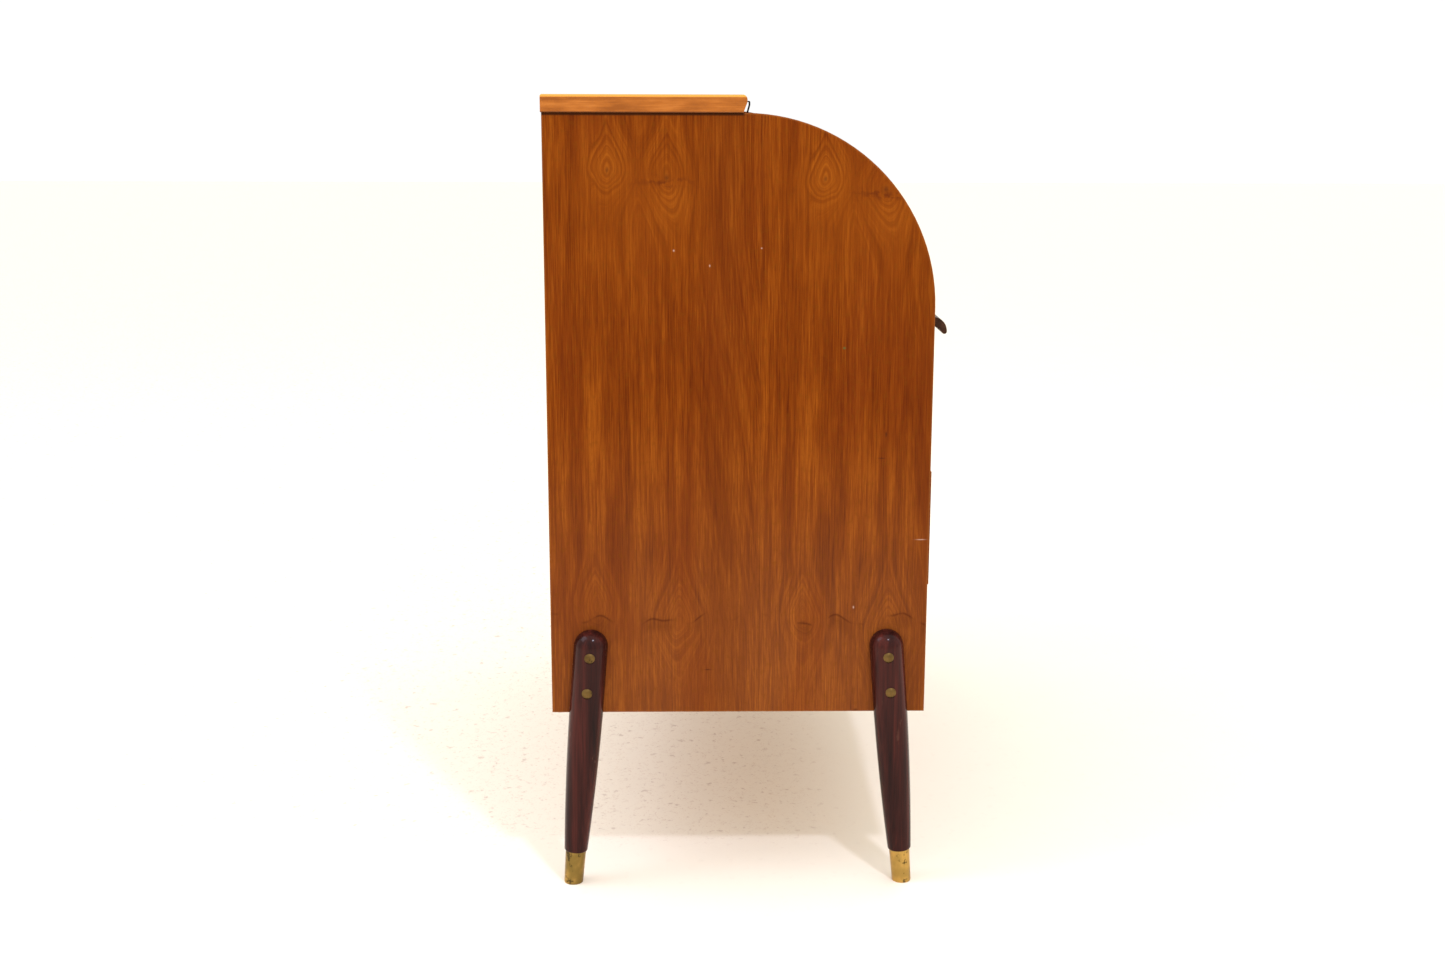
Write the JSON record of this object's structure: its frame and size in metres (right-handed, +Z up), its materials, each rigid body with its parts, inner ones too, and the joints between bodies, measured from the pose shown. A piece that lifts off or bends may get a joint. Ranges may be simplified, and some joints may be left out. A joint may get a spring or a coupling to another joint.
{
  "type": "secretary desk",
  "caption": "Roll-top secretary desk: curved lid over a pull-out writing leaf and pigeonholes, above stacked drawers, on splayed turned legs.",
  "frame": {"origin": "on the floor, in the middle of the outline", "axes": "+Z up, -Y towards the person at the desk, +X to that person's right"},
  "size_m": [0.951, 0.493, 0.99],
  "materials": {
    "side_veneer": "satin veneer, upright grain",
    "top_veneer": "satin veneer, grain along the top",
    "dark_wood": "glossy dark lacquer",
    "aged_brass": "tarnished",
    "brass_fittings": "satin",
    "spring_steel": "dull",
    "screw_steel": "satin",
    "lid_veneer": "satin veneer over moulded ply",
    "dark_lip": "oiled dark wood",
    "front_veneer": "satin veneer",
    "leaf_veneer": "satin veneer",
    "inner_wood": "satin",
    "plain_ply": "plain plywood",
    "light_wood": "sanded beech"
  },
  "bodies": {
    "carcass": {"back_panel": "plain_ply", "back_screws": "screw_steel", "bottom_board": "plain_ply", "carcass_dowels": "light_wood", "compartment_back": "inner_wood", "compartment_deck": "inner_wood", "compartment_divider_1": "inner_wood", "compartment_divider_2": "inner_wood", "compartment_divider_3": "inner_wood", "compartment_ends": "inner_wood", "compartment_shelves": "inner_wood", "compartment_top": "inner_wood", "ferrule_front_left": "aged_brass", "ferrule_front_right": "aged_brass", "ferrule_rear_left": "aged_brass", "ferrule_rear_right": "aged_brass", "leg_front_left": "dark_wood", "leg_front_right": "dark_wood", "leg_rear_left": "dark_wood", "leg_rear_right": "dark_wood", "leg_screws": "brass_fittings", "roll_stops": "spring_steel", "runners": "light_wood", "side_left": "side_veneer", "side_right": "side_veneer", "top_board": "top_veneer"},
    "drawer_1": {"drawer_1_back": "light_wood", "drawer_1_bottom": "plain_ply", "drawer_1_front": "front_veneer", "drawer_1_pulls": "dark_lip", "drawer_1_sides": "light_wood"},
    "drawer_2": {"drawer_2_back": "light_wood", "drawer_2_bottom": "plain_ply", "drawer_2_front": "front_veneer", "drawer_2_pulls": "dark_lip", "drawer_2_sides": "light_wood"},
    "drawer_3": {"drawer_3_back": "light_wood", "drawer_3_bottom": "plain_ply", "drawer_3_front": "front_veneer", "drawer_3_pulls": "dark_lip", "drawer_3_sides": "light_wood"},
    "leaf": {"leaf_edge": "front_veneer", "leaf_knobs": "brass_fittings", "leaf_panel": "leaf_veneer"},
    "roll": {"roll_handle": "dark_lip", "roll_handle_screws": "screw_steel", "roll_rail": "front_veneer", "roll_shell": "lid_veneer"},
    "small_drawer_1": {"small_drawer_1_front": "front_veneer", "small_drawer_1_knob": "brass_fittings", "small_drawer_1_tray": "light_wood"},
    "small_drawer_2": {"small_drawer_2_front": "front_veneer", "small_drawer_2_knob": "brass_fittings", "small_drawer_2_tray": "light_wood"},
    "small_drawer_3": {"small_drawer_3_front": "front_veneer", "small_drawer_3_knob": "brass_fittings", "small_drawer_3_tray": "light_wood"},
    "small_drawer_4": {"small_drawer_4_front": "front_veneer", "small_drawer_4_knob": "brass_fittings", "small_drawer_4_tray": "light_wood"}
  },
  "joints": [
    {"name": "roll_turn", "type": "hinge", "parent": "carcass", "child": "roll", "pos_m": [0, 0.0055, 0.739], "axis": [-1, 0, 0], "range_deg": [0, 91]},
    {"name": "leaf_slide", "type": "slide", "parent": "carcass", "child": "leaf", "axis": [0, -1, 0], "range_m": [0, 0.25]},
    {"name": "drawer_1_slide", "type": "slide", "parent": "carcass", "child": "drawer_1", "axis": [0, -1, 0], "range_m": [0, 0.33]},
    {"name": "drawer_2_slide", "type": "slide", "parent": "carcass", "child": "drawer_2", "axis": [0, -1, 0], "range_m": [-0.004, 0.326]},
    {"name": "drawer_3_slide", "type": "slide", "parent": "carcass", "child": "drawer_3", "axis": [0, -1, 0], "range_m": [0, 0.33]},
    {"name": "small_drawer_1_slide", "type": "slide", "parent": "carcass", "child": "small_drawer_1", "axis": [0, -1, 0], "range_m": [0, 0.13]},
    {"name": "small_drawer_2_slide", "type": "slide", "parent": "carcass", "child": "small_drawer_2", "axis": [0, -1, 0], "range_m": [0, 0.13]},
    {"name": "small_drawer_3_slide", "type": "slide", "parent": "carcass", "child": "small_drawer_3", "axis": [0, -1, 0], "range_m": [0, 0.13]},
    {"name": "small_drawer_4_slide", "type": "slide", "parent": "carcass", "child": "small_drawer_4", "axis": [0, -1, 0], "range_m": [0, 0.13]}
  ]
}
